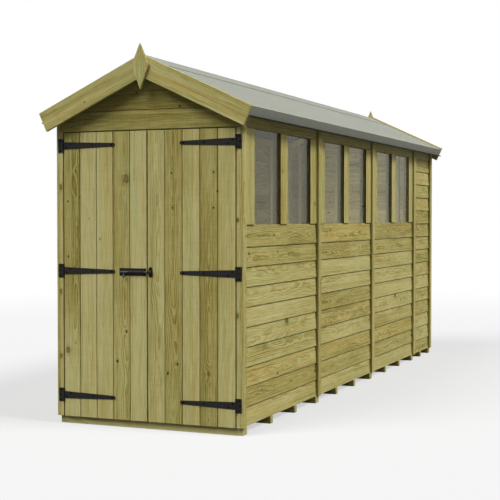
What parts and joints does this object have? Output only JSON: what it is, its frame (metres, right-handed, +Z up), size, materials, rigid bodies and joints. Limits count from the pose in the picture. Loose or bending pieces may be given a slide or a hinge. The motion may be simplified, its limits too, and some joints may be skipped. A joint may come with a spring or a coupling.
{
  "type": "wooden garden shed",
  "caption": "Overlap-clad timber garden shed with a felted apex roof, boarded double doors with strap hinges and a sliding bolt, and a row of fixed windows along one side.",
  "frame": {"origin": "on the ground at the middle of the shed's overall length and width", "axes": "+Z up, +Y from the door gable to the back gable, +X towards the windowed long side"},
  "size_m": [1.326, 4.482, 2.1601],
  "materials": {
    "treated_boards": "pressure-treated softwood, rough sawn",
    "treated_frame": "pressure-treated softwood, planed",
    "roof_sheet": "dull board",
    "roof_felt": "mineral felt",
    "black_iron": "satin black",
    "window_pane": "clear sheet"
  },
  "bodies": {
    "root": {"floor_bearers": "treated_frame", "floor_deck": "treated_frame", "front_frame": "treated_frame", "front_face_boards": "treated_boards", "front_gable_boards": "treated_boards", "back_frame": "treated_frame", "back_cladding": "treated_boards", "left_frame": "treated_frame", "left_cladding_1": "treated_boards", "left_cladding_2": "treated_boards", "left_cladding_3": "treated_boards", "left_cladding_4": "treated_boards", "left_cover_strips": "treated_boards", "right_frame": "treated_frame", "right_cladding_1": "treated_boards", "right_cladding_2": "treated_boards", "right_cladding_3": "treated_boards", "right_cladding_4": "treated_boards", "right_cover_strips": "treated_boards", "window_surround_1": "treated_boards", "window_surround_2": "treated_boards", "window_surround_3": "treated_boards", "window_panes_1": "window_pane", "window_panes_2": "window_pane", "window_panes_3": "window_pane", "roof_trusses": "treated_frame", "roof_boards_left": "roof_sheet", "roof_boards_right": "roof_sheet", "eaves_battens": "treated_frame", "roof_felt_left": "roof_felt", "roof_felt_right": "roof_felt", "ridge_felt": "roof_felt", "bargeboards_front": "treated_boards", "bargeboards_back": "treated_boards", "finials": "treated_boards", "hinge_plates": "black_iron"},
    "door_left": {"door_left_boards": "treated_boards", "door_left_ledges": "treated_frame", "door_left_straps": "black_iron", "bolt_plate": "black_iron"},
    "bolt": {"bolt_bar": "black_iron"},
    "door_right": {"door_right_boards": "treated_boards", "door_right_ledges": "treated_frame", "door_right_straps": "black_iron", "bolt_keeper": "black_iron"}
  },
  "joints": [
    {"name": "door_left_hinge", "type": "hinge", "parent": "root", "child": "door_left", "pos_m": [-0.5435, -2.1608, 0.888], "axis": [0, 0, -1], "range_deg": [0, 175]},
    {"name": "door_right_hinge", "type": "hinge", "parent": "root", "child": "door_right", "pos_m": [0.5435, -2.1608, 0.888], "axis": [0, 0, 1], "range_deg": [0, 175]},
    {"name": "bolt_slide", "type": "slide", "parent": "door_left", "child": "bolt", "axis": [1, 0, 0], "range_m": [-0.02, 0.022]}
  ]
}
